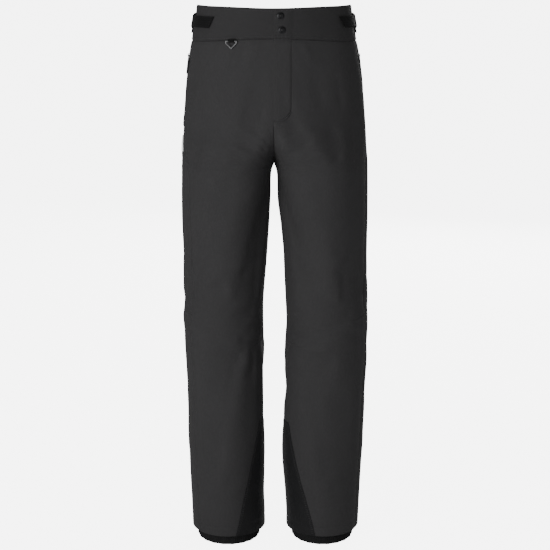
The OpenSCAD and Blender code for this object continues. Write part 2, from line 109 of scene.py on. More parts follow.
outer_w = {s: smooth_table(p) for s, p in OUTER.items()}
inner_w = {s: smooth_table(p, 5.0) for s, p in INNER.items()}
mid_y, leg_d, back_d = smooth_table(MID_Y, 25.0), smooth_table(LEG_D, 25.0), smooth_table(BACK_D, 18.0)


def front_y(z):
    return -(FRONT_TOP + FRONT_SLOPE * (TOP_Z - z))


def smoothstep(x, low=0.0, high=1.0):
    u = np.clip((np.asarray(x, float) - low) / (high - low), 0, 1)
    return u * u * (3 - 2 * u)


def oval(side, t, z, d):
    """Half section of the waist: three tangent arcs, by share t of their length."""
    cy, r1 = mid_y(z), outer_w[side](z) - SIDE_X + d
    f, b = cy - front_y(z) + d, back_d(z) + d
    rf = (SIDE_X**2 + f * f - r1 * r1) / (2 * (f - r1))
    rb = (SIDE_X**2 + b * b - r1 * r1) / (2 * (b - r1))
    pf, pb = np.arctan2(rf - f, SIDE_X), np.arctan2(rb - b, SIDE_X)
    lf, ls, lb = rf * (np.pi / 2 - pf), r1 * (pf + pb), rb * (np.pi / 2 - pb)
    s = t * (lf + ls + lb)
    a_side, a_back = (s - lf) / r1 - pf, (lf + ls + lb - s) / rb
    in_front, in_side = s < lf, s < lf + ls
    x = np.where(in_front, rf * np.sin(s / rf),
                 np.where(in_side, SIDE_X + r1 * np.cos(a_side), rb * np.sin(a_back)))
    y = np.where(in_front, cy + rf - f - rf * np.cos(s / rf),
                 np.where(in_side, cy + r1 * np.sin(a_side), cy - rb + b + rb * np.cos(a_back)))
    return x, y


def lobe(side, t, z, d):
    """Section of one leg; above the crotch it is an ellipse that the middle plane cuts."""
    k = 1 - smoothstep(z, CROTCH_Z, CLEFT_Z + 38)
    g = np.maximum(inner_w[side](z), 0) * smoothstep(CROTCH_Z + 2 - z, 0, 7)
    a = (outer_w[side](z) - g) / (1 + k)
    cx, turn = g + a * k, np.arccos(-k)
    q = -turn + 2 * turn * t
    full = 1 - 0.35 * smoothstep(z, 660, 790)  # under 1, the inner thigh is squarer than an ellipse
    towards = np.maximum(-np.cos(q), 0) / np.maximum(k, 1e-6)
    bend = np.where(np.cos(q) < 0, k * (towards - np.minimum(towards, 1) ** full), 0)
    above = smoothstep(z, CROTCH_Z - 20, CROTCH_Z + 20)
    straight = smoothstep(z, CLEFT_Z - 50, CLEFT_Z)
    front = leg_d(z) * (1 - straight) + (mid_y(z) - front_y(z)) * straight
    back = leg_d(np.minimum(z, CROTCH_Z)) * (1 - above) + back_d(np.maximum(z, CROTCH_Z)) * above
    b = np.where(q < 0, front, back)
    return cx + (a + d) * np.cos(q) + a * bend, mid_y(z) + (b + d) * np.sin(q)


def place(side, t, z, d=0.0):
    """Points of the bare garment's surface, grown by d: an array with x, y, z last."""
    t, z, d = np.broadcast_arrays(np.asarray(t, float), np.asarray(z, float), np.asarray(d, float))
    k = np.clip((OVAL_Z - z) / (OVAL_Z - CLEFT_Z), 0, 1)
    k = k * k * (3 - 2 * k)
    ox, oy = oval(side, t, np.maximum(z, CLEFT_Z), d)
    lx, ly = lobe(side, t, z, d)
    x, y = ox * (1 - k) + lx * k, oy * (1 - k) + ly * k
    return np.stack([SIDES[side] * np.maximum(x, 0), y, z], -1)


def front_t(side, x, z):
    """Share t at which the front at height z reaches a distance x from the middle."""
    t = np.full(np.broadcast(x, z).shape, 0.08)
    for _ in range(6):
        t = t * x / np.maximum(np.abs(place(side, t, z)[..., 0]), 0.05)
    return t


def outward(side, t, z):
    """Unit normals of the bare surface, pointing out."""
    dt, dz = 0.002, 1.5
    along = place(side, np.clip(t + dt, 0, 1), z) - place(side, np.clip(t - dt, 0, 1), z)
    up = place(side, t, np.asarray(z) + dz) - place(side, t, np.asarray(z) - dz)
    n = np.cross(along, up) * SIDES[side]
    return n / np.maximum(np.linalg.norm(n, axis=-1, keepdims=True), 1e-9)


def outseam(side, z):
    """Share t of the outseam at the height z."""
    share = smoothstep(z, 815, POCKET_Z[0] + 8)
    return OUTSEAM_LEG[side] * (1 - share) + SIDE_T * share


def waist_seam(t):
    return SEAM_Z + SEAM_RISE * np.maximum(0, np.cos(np.pi * np.asarray(t))) ** 2


def top_edge(t):
    t = np.asarray(t)
    front_dip = 2.9 * np.exp(-((t / 0.2) ** 2))
    side_dip = 1.8 * np.exp(-(((t - SIDE_T) / 0.03) ** 2))
    back_dip = BACK_DROP * np.maximum(0, -np.cos(np.pi * t)) ** 1.2
    return TOP_Z + 2.6 - side_dip - front_dip - back_dip


def flap_foot(x):
    """Height of the flap's lower edge at a distance x from the middle."""
    return FLAP_FOOT + FLAP_RISE * (np.clip(x, 0, FLAP_W) / FLAP_W) ** 3


def beside_flap(z):
    """Distance from the middle at which the left front starts: it reaches a little under the flap."""
    return (FLAP_W - 2.5) * smoothstep(z, FLAP_FOOT - 1, FLAP_FOOT + FLAP_RISE)


# ---- Meshes ------------------------------------------------------------------------------------

SHARP_ANGLE = 62.0  # degrees between faces from which an edge isn't shaded smooth
materials = {}


class Build:
    """Vertices, faces, UVs and material numbers of one mesh, gathered from several parts."""

    def __init__(self):
        self.points, self.faces, self.uvs, self.numbers, self.count = [], [], [], [], 0

    def add(self, points, faces, uvs=None, number=0):
        points = np.asarray(points, float).reshape(-1, 3)
        uvs = points[:, [0, 2]] if uvs is None else np.asarray(uvs, float).reshape(-1, 2)
        self.points.append(points)
        self.uvs.append(uvs)
        self.faces += [[i + self.count for i in f] for f in faces]
        self.numbers += [number] * len(faces)
        self.count += len(points)

    def make(self, name, body, slot, *mats, replaced=()):
        """The finished piece, riding on a body, which stands for the CAD nodes that it replaces."""
        mesh = bpy.data.meshes.new(name)
        points = np.concatenate(self.points) * MM
        mesh.from_pydata(points.tolist(), [], self.faces)
        layer = mesh.uv_layers.new(name="cloth")
        uvs = np.concatenate(self.uvs) * MM
        corners = np.zeros(len(mesh.loops), np.int32)
        mesh.loops.foreach_get("vertex_index", corners)
        layer.data.foreach_set("uv", uvs[corners].astype(np.float32).ravel())
        mesh.polygons.foreach_set("material_index", np.array(self.numbers, np.int32))
        mesh.polygons.foreach_set("use_smooth", np.ones(len(mesh.polygons), bool))
        for m in mats:
            mesh.materials.append(materials[m])
        mesh.validate()
        mesh.set_sharp_from_angle(angle=math.radians(SHARP_ANGLE))
        obj = bpy.data.objects.new(name, mesh)
        bpy.context.scene.collection.objects.link(obj)
        if body is not None:
            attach(obj, body)
        if replaced:
            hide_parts(*replaced)
        return obj


def spans(grid, axis):
    """Running length along one axis of a grid of points."""
    steps = np.linalg.norm(np.diff(grid, axis=axis), axis=-1)
    start = np.zeros_like(np.take(steps, [0], axis=axis))
    return np.concatenate([start, np.cumsum(steps, axis=axis)], axis=axis)


def slab(rows, cols, closed=False):
    """Faces of a closed solid between two grids. closed joins the last column to the first."""
    n = rows * cols
    span = cols if closed else cols - 1
    i, j = np.meshgrid(np.arange(rows - 1), np.arange(span), indexing="ij")
    i, j = i.ravel(), j.ravel()
    k = (j + 1) % cols
    a, b, c, d = i * cols + j, (i + 1) * cols + j, (i + 1) * cols + k, i * cols + k
    faces = np.concatenate([np.stack([a, b, c, d], 1), n + np.stack([a, d, c, b], 1)]).tolist()
    last = (rows - 1) * cols
    for j in range(span):
        k = (j + 1) % cols
        faces.append([j, k, n + k, n + j])
        faces.append([last + j, n + last + j, n + last + k, last + k])
    if not closed:
        for i in range(rows - 1):
            a, b = i * cols, (i + 1) * cols
            faces.append([a, n + a, n + b, b])
            faces.append([a + cols - 1, b + cols - 1, n + b + cols - 1, n + a + cols - 1])
    return faces


def finer(values, spots, reach, step):
    """Adds rows or columns close round each spot."""
    extra = [s + o for s in spots for o in np.arange(-reach, reach + 0.1, step)]
    low, high = min(values), max(values)
    merged = np.unique(np.round(np.concatenate([values, [e for e in extra if low < e < high]]), 2))
    keep = [merged[0]]
    for v in merged[1:-1]:
        if v - keep[-1] > step * 0.6:
            keep.append(v)
    return np.array(keep + [merged[-1]])


def shares(count, width, edge=6.0, step=1.6):
    """Shares from 0 to 1, closer together near both ends of a strip of this width."""
    values = np.linspace(0, width, count + 1)
    return finer(values, [0.0, width], edge, step) / width


# ---- Relief: the cloth's folds, puff and seams ----------------------------------------------------


def ridge(x, z, fold):
    """Height at (x, z) of a fold that tapers to nothing at both ends."""
    x0, z0, x1, z1, width, height = fold
    length = math.hypot(x1 - x0, z1 - z0)
    ux, uz = (x1 - x0) / length, (z1 - z0) / length
    s = ((x - x0) * ux + (z - z0) * uz) / length
    off = (-(x - x0) * uz + (z - z0) * ux) / width
    taper = np.clip(4 * s * (1 - s), 0, 1)
    return height * taper * np.exp(-off * off)


# Folds as x and z of the start, x and z of the end, width and height, seen from the front with the
# wearer's right negative. A negative height is a crease.
FRONT_FOLDS = [
    (-34, 1064, -60, 1026, 5, 2.6), (-22, 1064, -56, 1002, 6, 2.2), (-46, 1062, -70, 1020, 5, -2.0),
    (-76, 1048, -100, 1000, 6, 2.2), (-108, 1054, -128, 1000, 6, 1.5), (52, 1060, 76, 1014, 6, 1.3),
    (-6, 850, -92, 905, 8, 1.6), (-4, 834, -105, 868, 8, -1.6), (-4, 822, -100, 832, 8, 1.5),
    (-4, 812, -82, 786, 9, -1.6), (-6, 800, -60, 742, 9, 1.6), (6, 846, 88, 896, 8, 1.3),
    (5, 832, 104, 862, 8, -1.5), (5, 820, 98, 828, 8, 1.4), (5, 810, 84, 784, 9, -1.5),
    (7, 798, 62, 738, 9, 1.6), (-26, 640, -80, 600, 9, 1.2), (-30, 618, -92, 566, 9, -1.2),
    (30, 634, 84, 588, 9, 1.2), (-27, 540, -96, 512, 8, 1.6), (-27, 516, -84, 500, 8, -1.6),
    (-26, 470, -92, 476, 9, 1.8), (-25, 452, -80, 448, 8, -1.6), (-26, 418, -86, 388, 8, 1.5),
    (-26, 400, -74, 356, 8, -1.3), (28, 536, 92, 512, 8, 1.5), (28, 512, 82, 496, 8, -1.5),
    (28, 468, 92, 474, 9, 1.7), (28, 452, 82, 446, 8, -1.5), (27, 416, 86, 384, 8, 1.5),
    (27, 396, 74, 350, 8, -1.3), (-182, 540, -130, 520, 8, 1.3), (-182, 470, -128, 486, 8, 1.5),
    (-178, 446, -134, 470, 7, -1.3), (188, 540, 136, 520, 8, 1.3), (192, 470, 138, 486, 8, 1.5),
    (188, 446, 142, 470, 7, -1.3), (-170, 180, -96, 140, 10, 1.2), (-40, 150, -110, 108, 10, 1.2),
    (-165, 110, -90, 84, 8, -1.1), (176, 176, 100, 138, 10, 1.2), (44, 146, 116, 104, 10, 1.2),
    (172, 108, 98, 80, 8, -1.1), (-100, 700, -132, 560, 14, 1.2), (98, 706, 128, 566, 14, 1.1),
    (-96, 360, -108, 230, 14, 1.1), (100, 356, 112, 226, 14, 1.1),
]
BACK_FOLDS = [
    (-6, 850, -96, 910, 10, 2.0), (-5, 828, -112, 850, 10, -2.0), (-5, 812, -96, 776, 10, 2.2),
    (6, 850, 96, 908, 10, 2.0), (5, 828, 112, 848, 10, -2.0), (5, 812, 96, 774, 10, 2.2),
    (-30, 530, -150, 500, 9, -2.0), (-34, 492, -160, 486, 9, 2.6), (-32, 468, -160, 466, 8, -2.6),
    (-34, 446, -150, 440, 9, 2.4), (-40, 420, -130, 396, 9, -1.8), (-34, 560, -120, 570, 10, 1.6),
    (30, 530, 150, 502, 9, -2.0), (34, 494, 164, 486, 9, 2.6), (32, 468, 164, 466, 8, -2.6),
    (34, 446, 154, 438, 9, 2.4), (40, 420, 134, 396, 9, -1.8), (34, 560, 124, 570, 10, 1.6),
    (-160, 180, -70, 130, 11, 1.8), (-60, 200, -130, 90, 11, -1.4), (160, 180, 74, 128, 11, 1.8),
    (60, 200, 134, 88, 11, -1.4), (-150, 640, -60, 600, 11, 1.6), (150, 644, 60, 606, 11, 1.6),
]
# Knee darts as x and z of the start and of the end, on the front.
DARTS = [(-186, 508, -152, 494), (-23, 440, -54, 428), (194, 502, 156, 490), (26, 438, 60, 430)]

settled = {}  # what the cloth simulation adds, by side: a grid of heights over t and z


def sampled(side, t, z):
    """The simulated relief at (t, z), by cubic interpolation of its grid."""
    if side not in settled:
        return 0.0
    grid, z_low, z_high = settled[side]
    rows, cols = grid.shape
    p = np.clip((z - z_low) / (z_high - z_low), 0, 1) * (rows - 1)
    q = np.clip(t, 0, 1) * (cols - 1)
    i, j = np.floor(p).astype(int), np.floor(q).astype(int)
    total = 0.0
    for di, wi in zip(range(-1, 3), cubic(p - i)):
        for dj, wj in zip(range(-1, 3), cubic(q - j)):
            total = total + wi * wj * grid[np.clip(i + di, 0, rows - 1), np.clip(j + dj, 0, cols - 1)]
    return total


def cubic(u):
    return [((2 - u) * u - 1) * u / 2, ((3 * u - 5) * u * u + 2) / 2, ((4 - 3 * u) * u + 1) * u / 2,
            (u - 1) * u * u / 2]


def relief(side, t, z):
    """Height of the worn cloth over the bare surface."""
    x, y, height = np.moveaxis(place(side, t, z), -1, 0)
    front = smoothstep(mid_y(z) - y, -10, 30)
    share = smoothstep(waist_seam(t) - z, 20, 190) * smoothstep(z - HEM_Z, 50, 200)
    total = sampled(side, t, z) * share * (1 - 0.65 * np.exp(-(((z - 495) / 70) ** 2)))
    total = total - 0.9 * np.exp(-(((z - HEM_Z - HEM_FOLD) / 1.7) ** 2))
    for fold in FRONT_FOLDS:
        total = total + front * ridge(x, height, fold)
    for fold in BACK_FOLDS:
        total = total + (1 - front) * ridge(x, height, fold)
    for dart in DARTS:
        total = total + front * (ridge(x, height, (*dart, 1.5, -1.9)) + ridge(x, height, (*dart, 6.5, 1.5)))
    free = smoothstep(waist_seam(t) - z, 0, 12) * smoothstep(z, HEM_Z - 2, HEM_Z + 26)
    middle = 1 - smoothstep(z, CROTCH_Z - 70, CROTCH_Z - 10) * (1 - smoothstep(np.abs(x), 1, 24))
    return total * free * middle


def worn(side, t, z, d=0.0, amount=1.0):
    """Points of the worn cloth at (t, z), lifted by d along the normal. The middle seams stay closed."""
    bare = place(side, t, z)
    step = outward(side, t, z) * (relief(side, t, z) * amount + d)[..., None]
    closed = smoothstep(bare[..., 2], CROTCH_Z - 14, CROTCH_Z - 1)
    step[..., 0] = step[..., 0] * (1 - closed * (1 - smoothstep(np.abs(bare[..., 0]), 0, 12)))
    return bare + step


def round_edge(distance, radius):
    """0 at an edge to 1 a radius away, like the side of a rounded edge."""
    u = np.clip(distance / radius, 0, 1)
    return np.sqrt(np.clip(1 - (1 - u) ** 2, 0, 1))


def layer(surface, t, z, low, high, seams="", free="", puff=0.0, plain_above=2000.0):
    """Outer and inner grids, from low to high over a surface, on the grids t and z, with their UVs.
    seams and free list edges among w (low t), e (high t), n (top) and s (bottom): a seam's edge tucks
    in, except the low t edge over the height plain_above, and a free edge is rounded."""
    bare = surface(t, z, np.zeros(t.shape))
    across, down = spans(bare, 1), spans(bare, 0)
    away = {"w": across, "e": across[:, -1:] - across, "n": down, "s": down[-1:] - down}
    tuck = np.zeros_like(across)
    near = np.full_like(across, 1e3)
    for edge in seams:
        sewn = smoothstep(plain_above - z, -5, 5) if edge == "w" else 1.0
        groove = 1.5 * np.exp(-((away[edge] / 1.7) ** 2)) + 0.45 * np.exp(-(((away[edge] - 4.2) / 1.3) ** 2))
        along = z if edge in "we" else across
        pucker = 0.28 * np.exp(-((away[edge] / 6.5) ** 2)) * np.sin(along / 1.35 + 2.4 * np.sin(along / 19))
        tuck = tuck - (groove * (1.0 if edge in "we" else 1.4) - pucker) * sewn
        near = np.minimum(near, away[edge] + 60 * (1 - sewn))
    thick = high - low
    rounded = np.ones_like(across)
    for edge in free:
        rounded = rounded * round_edge(away[edge] + 0.12, np.mean(thick) * 0.75)
    middle = (high + low) / 2
    outer = surface(t, z, middle + thick / 2 * rounded + tuck + puff * smoothstep(near, 2, 26))
    inner = surface(t, z, middle - thick / 2 * rounded + tuck)
    return outer, inner, np.stack([across, z], -1)


def add_layer(build, side, grids, closed=False):
    """Adds the closed solid between a layer's two grids."""
    outer, inner, uvs = grids
    faces = slab(*outer.shape[:2], closed)
    faces = faces if SIDES[side] > 0 else [f[::-1] for f in faces]
    build.add(np.concatenate([outer.reshape(-1, 3), inner.reshape(-1, 3)]), faces,
              np.concatenate([uvs.reshape(-1, 2)] * 2))


def piece(name, body, slot, material, side, grids, replaced=(), closed=False):
    """A piece that is one layer."""
    build = Build()
    add_layer(build, side, grids, closed)
    return build.make(name, body, slot, material, replaced=replaced)


def cloth(side, amount=1.0):
    """The worn cloth's surface on one side."""
    return lambda t, z, d: worn(side, t, z, d, amount)


STITCH = (3.0, 1.1, 0.42)  # length, gap and half width of a stitch


def add_stitches(build, path, normals):
    """A row of stitches, in the piece's second material, along a path of points on the cloth."""
    length, gap, radius = STITCH
    run = spans(path[None], 1)[0]
    heights = np.array([-0.6, 0.55, -0.6]) * radius
    widths = np.array([0.5, 1.0, 0.5]) * radius
    turn = np.arange(4) / 4 * 2 * np.pi
    faces = [[i + j, i + (j + 1) % 4, i + 4 + (j + 1) % 4, i + 4 + j] for i in (0, 4) for j in range(4)]
    faces += [[3, 2, 1, 0], [8, 9, 10, 11]]
    at = lambda q, v: np.stack([np.interp(q, run, v[:, c]) for c in range(3)], -1)
    for start in np.arange(gap, run[-1] - length, length + gap):
        centres = at(start + np.array([0.0, 0.5, 1.0]) * length, path)
        ahead = centres[-1] - centres[0]
        ahead /= max(np.linalg.norm(ahead), 1e-9)
        up = at(np.array([start + length / 2]), normals)[0]
        cross = np.cross(ahead, up)
        cross /= max(np.linalg.norm(cross), 1e-9)
        ring = (centres + up * heights[:, None])[:, None] + widths[:, None, None] * (
            np.cos(turn)[None, :, None] * cross + 0.7 * np.sin(turn)[None, :, None] * up)
        build.add(ring, faces, number=1)


def stitch_line(build, side, t, z, lift=0.0, amount=1.0):
    """A row of stitches along places (t, z)."""
    t, z = np.broadcast_arrays(np.asarray(t, float), np.asarray(z, float))
    path = worn(side, t[None], z[None], lift, amount)[0]
    add_stitches(build, path, outward(side, t, z))


def shift_t(side, t, z, distance):
    """Moves t by a distance round the section."""
    after, before = (place(side, np.clip(t + step, 0, 1), z) for step in (0.005, -0.005))
    return t + distance * 0.01 / np.maximum(np.linalg.norm(after - before, axis=-1), 1e-6)


# ---- Cloth simulation ------------------------------------------------------------------------------

SIM_COLS, SIM_STEP = 48, 12.0
SIM_FRAMES = 22
SIM_CAP = 3.2  # furthest the simulation may move the surface


def settle():
    """Hangs both halves as one cloth, a little too long and wide for its pins, so that it buckles into
    soft folds, and keeps how far each point moved along its normal."""
    z = np.arange(HEM_Z, SEAM_Z + 1, SIM_STEP)
    t = np.linspace(0, 1, SIM_COLS + 1)
    tt, zz = np.meshgrid(t, z)
    grids = {s: place(s, tt, zz) for s in SIDES}
    points = np.concatenate([grids[s].reshape(-1, 3) for s in SIDES]) * MM
    rows, cols = tt.shape
    faces = []
    for number, sign in enumerate(SIDES.values()):
        base = number * rows * cols
        for i in range(rows - 1):
            for j in range(cols - 1):
                a = base + i * cols + j
                face = [a, a + 1, a + cols + 1, a + cols]
                faces.append(face if sign > 0 else face[::-1])
    # Weld the inseams and the centre seams; remember which welded vertex each grid point became.
    keys = {}
    owner = np.zeros(len(points), int)
    welded = []
    for number, p in enumerate(points):
        key = tuple(np.round(p / (0.6 * MM)).astype(int)) if number % cols in (0, cols - 1) else number
        if key not in keys:
            keys[key] = len(welded)
            welded.append(p)
        owner[number] = keys[key]
    mesh = bpy.data.meshes.new("settle")
    mesh.from_pydata([list(p) for p in welded], [], [[int(owner[i]) for i in f] for f in faces])
    obj = bpy.data.objects.new("settle", mesh)
    scene = bpy.context.scene
    scene.collection.objects.link(obj)
    group = obj.vertex_groups.new(name="pin")
    height = np.array(welded)[:, 2] / MM
    for number, p in enumerate(welded):
        pinned = max(1 - (SEAM_Z - height[number]) / 20, 1 - (height[number] - HEM_Z) / 16)
        for x0, z0, x1, z1 in DARTS:
            if math.hypot(p[0] / MM - (x0 + x1) / 2, height[number] - (z0 + z1) / 2) < 16 and p[1] < 0:
                pinned = max(pinned, 0.8)
        if abs(p[0]) < 0.004 and height[number] > CROTCH_Z - 15:
            pinned = max(pinned, 0.7)
        group.add([number], float(np.clip(pinned, 0, 1)), "REPLACE")
    modifier = obj.modifiers.new("cloth", "CLOTH")
    modifier.collision_settings.use_collision = False
    settings = modifier.settings
    settings.quality = 6
    settings.mass = 0.35
    settings.tension_stiffness = settings.compression_stiffness = 25
    settings.shear_stiffness = 8
    settings.bending_stiffness = 2.0
    settings.vertex_group_mass = "pin"
    settings.pin_stiffness = 4
    settings.shrink_min = -0.022
    settings.use_pressure = True
    settings.uniform_pressure_force = 0.25
    settings.effector_weights.gravity = 0.6
    for number in range(1, SIM_FRAMES + 1):
        scene.frame_set(number)
    done = obj.evaluated_get(bpy.context.evaluated_depsgraph_get())
    final = np.zeros(len(welded) * 3)
    done.data.vertices.foreach_get("co", final)
    final = final.reshape(-1, 3)[owner] / MM
    scene.frame_set(1)
    for number, s in enumerate(SIDES):
        moved = final[number * rows * cols:(number + 1) * rows * cols].reshape(rows, cols, 3) - grids[s]
        along = np.sum(moved * outward(s, tt, zz), -1)
        along = along - blurred(along, 5) * 0.6
        settled[s] = (SIM_CAP * np.tanh(along / SIM_CAP), z[0], z[-1])
    bpy.data.objects.remove(obj)


def blurred(grid, reach):
    """Running mean of a grid over reach cells each way."""
    kernel = np.ones(2 * reach + 1) / (2 * reach + 1)
    mean = lambda v: np.convolve(np.pad(v, reach, mode="edge"), kernel, "valid")
    return np.apply_along_axis(mean, 1, np.apply_along_axis(mean, 0, grid))


# ---- Materials -----------------------------------------------------------------------------------


class Nodes:
    """Short calls for building a material's node tree."""

    def __init__(self, name):
        self.material = bpy.data.materials.new(name)
        self.material.use_nodes = True
        self.tree = self.material.node_tree
        self.shader = self.tree.nodes["Principled BSDF"]
        materials[name] = self.material

    def put(self, kind, **inputs):
        node = self.tree.nodes.new(kind)
        for key, value in inputs.items():
            self.link(value, node.inputs[key.replace("_", " ")])
        return node

    def link(self, value, socket):
        if isinstance(value, bpy.types.NodeSocket):
            self.tree.links.new(value, socket)
        else:
            socket.default_value = value

    def set(self, **inputs):
        for key, value in inputs.items():
            self.link(value, self.shader.inputs[key.replace("_", " ")])

    def noise(self, vector, scale, detail=3.0, roughness=0.55):
        node = self.put("ShaderNodeTexNoise", Vector=vector, Scale=scale, Detail=detail, Roughness=roughness)
        return node.outputs["Fac"]

    def wave(self, vector, scale, direction, distortion=0.0):
        node = self.put("ShaderNodeTexWave", Vector=vector, Scale=scale / 6.283, Distortion=distortion)
        node.bands_direction = direction
        return node.outputs["Fac"]

    def math(self, operation, a, b=0.0, c=0.0):
        node = self.tree.nodes.new("ShaderNodeMath")
        node.operation = operation
        for socket, value in zip(node.inputs, (a, b, c)):
            self.link(value, socket)
        return node.outputs[0]

    def scaled(self, vector, scale, turn=0.0):
        node = self.put("ShaderNodeMapping", Vector=vector, Scale=scale, Rotation=(0, 0, turn))
        return node.outputs["Vector"]

    def mix(self, factor, a, b):
        node = self.tree.nodes.new("ShaderNodeMix")
        node.data_type = "RGBA"
        self.link(factor, node.inputs["Factor"])
        self.link((*a, 1) if isinstance(a, tuple) else a, node.inputs["A"])
        self.link((*b, 1) if isinstance(b, tuple) else b, node.inputs["B"])
        return node.outputs["Result"]

    def bump(self, height, distance, strength=1.0, normal=None):
        node = self.put("ShaderNodeBump", Height=height, Distance=distance, Strength=strength)
        if normal is not None:
            self.link(normal, node.inputs["Normal"])
        return node.outputs["Normal"]

    def uv(self):
        node = self.tree.nodes.new("ShaderNodeUVMap")
        node.uv_map = "cloth"
        return node.outputs["UV"]

    def place(self):
        return self.tree.nodes.new("ShaderNodeTexCoord").outputs["Object"]

    def edges(self, low, high):
        """1 on convex edges and 0 elsewhere, from the mesh's own bends."""
        bend = self.tree.nodes.new("ShaderNodeNewGeometry").outputs["Pointiness"]
        return self.put("ShaderNodeMapRange", Value=bend, From_Min=low, From_Max=high).outputs["Result"]


def woven(name, dark, light, pitch, twill=False, rough=0.78, sheen=0.04, depth=0.00012, wear=0.3):
    """Woven cloth: threads at pitch metres, a soft crinkle, mottling and paler worn edges."""
    n = Nodes(name)
    uv, at = n.uv(), n.place()
    turned = n.scaled(uv, (1, 1, 1), math.radians(32 if twill else 0))
    across = n.wave(turned, 1 / pitch, "X")
    along = n.wave(uv, 1.6 / pitch, "Y", 0.3)
    weave = n.math("MULTIPLY", across, n.math("MULTIPLY_ADD", along, 0.6, 0.4))
    slub = n.noise(n.scaled(uv, (900, 70, 1)), 1.0, 2.0)
    mottle = n.noise(at, 9.0, 4.0)
    dust = n.noise(at, 60.0, 3.0, 0.7)
    tone = n.math("MULTIPLY_ADD", mottle, 0.55, n.math("MULTIPLY", dust, 0.25))
    tone = n.math("MULTIPLY_ADD", slub, 0.25, tone)
    tone = n.math("MULTIPLY_ADD", weave, 0.18, n.math("SUBTRACT", tone, 0.2))
    colour = n.mix(tone, dark, light)
    worn_light = tuple(min(1, c * 1.5 + 0.01) for c in light)
    colour = n.mix(n.math("MULTIPLY", n.edges(0.53, 0.62), wear), colour, worn_light)
    soft = n.bump(n.noise(at, 34.0, 3.0), 0.0006)
    normal = n.bump(weave, depth, 0.8, soft)
    n.set(Base_Color=colour, Roughness=n.math("MULTIPLY_ADD", dust, 0.14, rough - 0.07), Normal=normal,
          Sheen_Weight=sheen, Sheen_Roughness=0.5, Specular_IOR_Level=0.16)


def webbing(name, dark, light, pitch=0.0022):
    """Narrow woven tape: chevron ribs along its length, with a firmer gloss than cloth."""
    n = Nodes(name)
    uv = n.uv()
    rib = n.wave(uv, 1 / pitch, "Y")
    cord = n.wave(n.scaled(uv, (1, 1, 1), math.radians(38)), 1.3 / pitch, "X")
    height = n.math("MULTIPLY", rib, n.math("MULTIPLY_ADD", cord, 0.5, 0.5))
    fuzz = n.noise(n.place(), 300.0, 2.0)
    colour = n.mix(n.math("MULTIPLY_ADD", height, 0.6, n.math("MULTIPLY", fuzz, 0.4)), dark, light)
    n.set(Base_Color=colour, Roughness=0.72, Normal=n.bump(height, 0.00025), Sheen_Weight=0.04,
          Specular_IOR_Level=0.15)


def metal(name, colour, rough, worn_colour):
    """Brushed or plated metal with fine scratches and brighter worn edges."""
    n = Nodes(name)
    at = n.place()
    brushed = n.noise(n.scaled(at, (1400, 1400, 90)), 1.0, 3.0)
    cloudy = n.noise(at, 180.0, 3.0)
    shade = n.mix(n.edges(0.51, 0.58), colour, worn_colour)
    shade = n.mix(n.math("MULTIPLY", cloudy, 0.4), shade, tuple(c * 0.6 for c in colour))
    n.set(Base_Color=shade, Metallic=1.0, Roughness=n.math("MULTIPLY_ADD", brushed, 0.18, rough),
          Normal=n.bump(brushed, 0.00002))


def moulded(name, colour, rough, grain=900.0, light=1.6, glow=0.0):
    """Moulded plastic or rubber with a fine grain. A glow is painted light that keeps a part white in the
    shade, standing in for retroreflective film.
    """
    n = Nodes(name)
    at = n.place()
    speck = n.noise(at, grain, 3.0)
    paler = tuple(min(1, c * light) for c in colour)
    tone = n.mix(n.math("MULTIPLY", n.noise(at, 120.0), 0.6), colour, paler)
    # The emission is painted light; it stays off unless glow is set.
    n.set(Base_Color=tone, Roughness=n.math("MULTIPLY_ADD", speck, 0.15, rough), Specular_IOR_Level=0.4,
          Normal=n.bump(speck, 0.00006), Emission_Color=tone, Emission_Strength=glow)


def hook_and_loop(name, colour):
    n = Nodes(name)
    tuft = n.put("ShaderNodeTexVoronoi", Vector=n.place(), Scale=900.0).outputs["Distance"]
    n.set(Base_Color=n.mix(tuft, colour, tuple(c * 2.2 for c in colour)), Roughness=0.95,
          Normal=n.bump(tuft, 0.0006), Sheen_Weight=0.5)


def make_materials():
    woven("shell", (0.036, 0.0352, 0.0365), (0.052, 0.051, 0.0525), 0.0011, twill=True, wear=0.06)
    woven("band", (0.031, 0.0303, 0.0314), (0.045, 0.0441, 0.0454), 0.0011, twill=True, wear=0.06)
    woven("scuff", (0.008, 0.008, 0.009), (0.017, 0.017, 0.018), 0.0024, rough=0.55, sheen=0.1, depth=0.0002)
    woven("lining", (0.055, 0.057, 0.060), (0.085, 0.088, 0.092), 0.0007, rough=0.5, sheen=0.2)
    woven("facing", (0.030, 0.030, 0.032), (0.055, 0.055, 0.058), 0.0014, rough=0.95, sheen=0.8)
    woven("gaiter", (0.006, 0.006, 0.007), (0.013, 0.013, 0.014), 0.0008, rough=0.6, sheen=0.15)
    webbing("trim", (0.003, 0.003, 0.0033), (0.0095, 0.0095, 0.010))
    webbing("elastic", (0.006, 0.006, 0.0065), (0.022, 0.022, 0.023), 0.0016)
    webbing("tape", (0.006, 0.006, 0.0065), (0.016, 0.016, 0.017), 0.0009)
    webbing("thread", (0.045, 0.045, 0.047), (0.085, 0.085, 0.088), 0.0005)
    webbing("dark_thread", (0.008, 0.008, 0.0085), (0.02, 0.02, 0.021), 0.0005)
    metal("gunmetal", (0.11, 0.11, 0.115), 0.34, (0.4, 0.4, 0.4))
    metal("wire", (0.26, 0.26, 0.27), 0.36, (0.45, 0.45, 0.45))
    metal("snap", (0.03, 0.03, 0.032), 0.26, (0.12, 0.12, 0.12))
    moulded("teeth", (0.014, 0.014, 0.015), 0.38)
    moulded("pull", (0.012, 0.012, 0.013), 0.55)
    # The patch glows at strength 0.7: painted light that keeps it white on the shaded side of the hip.
    moulded("patch", (0.9, 0.9, 0.9), 0.5, 1600.0, 1.05, 0.7)
    hook_and_loop("loops", (0.008, 0.008, 0.0085))


# ---- Shell panels ----------------------------------------------------------------------------------

